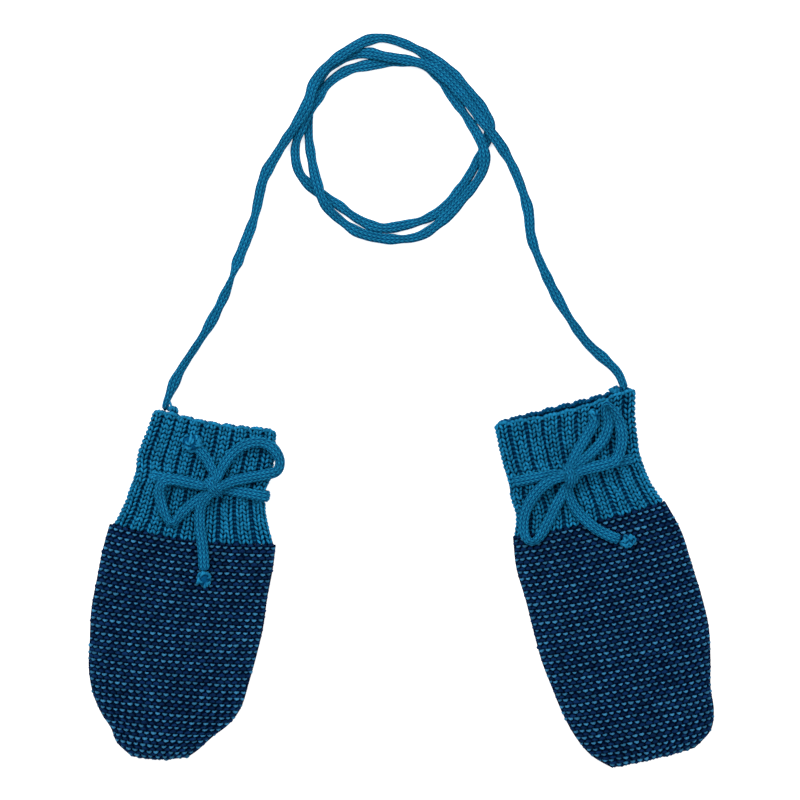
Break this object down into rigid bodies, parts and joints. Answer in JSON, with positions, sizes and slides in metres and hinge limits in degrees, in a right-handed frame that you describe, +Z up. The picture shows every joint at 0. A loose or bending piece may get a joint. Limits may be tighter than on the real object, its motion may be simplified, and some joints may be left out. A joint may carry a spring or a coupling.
{
  "type": "pair of baby mittens",
  "caption": "Thumbless knitted baby mittens laid flat, with ribbed cuffs, wrist drawstrings tied in bows and a long neck cord joining them.",
  "frame": {"origin": "on the surface that the mittens lie on, under the middle of the two mittens' own box, without the cords", "axes": "+Z up off the surface, +Y from the fingertips towards the cuffs and the neck cord, +X to the right seen from above"},
  "size_m": [0.2336, 0.2753, 0.016],
  "materials": {
    "hand_knit": "navy wool knit with small teal dashes",
    "cuff_rib": "teal wool, ribbed two by one",
    "cord_knit": "teal wool, fine knitted tube"
  },
  "bodies": {
    "root": {"left_hand_front": "hand_knit", "left_hand_back": "hand_knit", "left_cuff_front": "cuff_rib", "left_cuff_back": "cuff_rib", "left_wrist_string": "cord_knit", "left_bow_knot": "cord_knit", "left_bow_loop_right": "cord_knit", "left_bow_loop_left": "cord_knit", "left_tail_short": "cord_knit", "left_tail_knot_short": "cord_knit", "left_tail_long": "cord_knit", "left_tail_knot_long": "cord_knit", "left_neck_stitch": "cuff_rib", "right_hand_front": "hand_knit", "right_hand_back": "hand_knit", "right_cuff_front": "cuff_rib", "right_cuff_back": "cuff_rib", "right_wrist_string": "cord_knit", "right_bow_knot": "cord_knit", "right_bow_loop_upper": "cord_knit", "right_bow_loop_lower": "cord_knit", "right_tail_short": "cord_knit", "right_tail_knot_short": "cord_knit", "right_tail_long": "cord_knit", "right_tail_knot_long": "cord_knit", "right_neck_stitch": "cuff_rib", "neck_cord": "cord_knit"}
  },
  "joints": []
}
